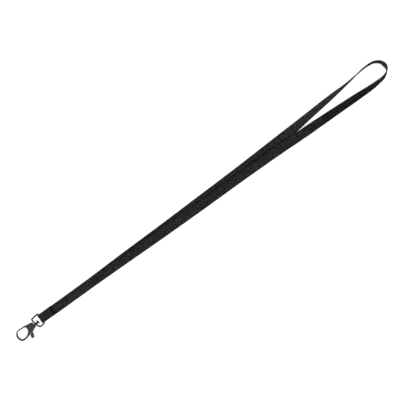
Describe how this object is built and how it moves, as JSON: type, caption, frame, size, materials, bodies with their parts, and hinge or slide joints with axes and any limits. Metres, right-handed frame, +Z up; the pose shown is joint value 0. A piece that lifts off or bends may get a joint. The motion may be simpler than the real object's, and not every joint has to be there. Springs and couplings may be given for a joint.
{
  "type": "neck lanyard",
  "caption": "Flat woven neck lanyard: a strap loop sewn onto a swivel ring that carries a lobster-claw hook with a sprung thumb lever.",
  "frame": {"origin": "centre of the laid lanyard's box, on the surface it lies on", "axes": "+X from the hook towards the neck loop's end along the strap, +Y to the side the outgoing strap run lies on, +Z up"},
  "size_m": [0.4732, 0.025, 0.01],
  "materials": {
    "webbing": "matt plain-weave polyester webbing",
    "thread": "polyester sewing thread",
    "plated_ring": "polished dark nickel plate",
    "plated_rivet": "polished dark nickel plate",
    "plated_hook": "polished dark nickel plate on a casting",
    "plated_lever": "polished dark nickel plate",
    "spring_steel": "drawn spring wire"
  },
  "bodies": {
    "strap": {"neck_strap": "webbing", "seam_needle_thread": "thread", "seam_bobbin_thread": "thread"},
    "ring": {"swivel_ring": "plated_ring"},
    "hook": {"hook_body": "plated_hook", "swivel_rivet": "plated_rivet", "pivot_pin": "plated_rivet", "gate_spring": "spring_steel"},
    "lever": {"trigger_lever": "plated_lever"}
  },
  "joints": [
    {"name": "ring_hinge", "type": "hinge", "parent": "strap", "child": "ring", "pos_m": [-0.20508, -0.00112, 0.0022], "axis": [0, 1, 0], "range_deg": [-90, 90]},
    {"name": "hook_swivel", "type": "hinge", "parent": "ring", "child": "hook", "pos_m": [-0.21303, -0.00236, 0.0022], "axis": [-0.988, -0.1547, 0], "continuous": true},
    {"name": "trigger_pivot", "type": "hinge", "parent": "hook", "child": "lever", "pos_m": [-0.2199, -0.00182, 0.0022], "axis": [0, 0, 1], "range_deg": [0, 26], "stiffness_Nm_per_rad": 0.008, "springref_deg": -28.65, "deforming": ["gate_spring"]}
  ]
}
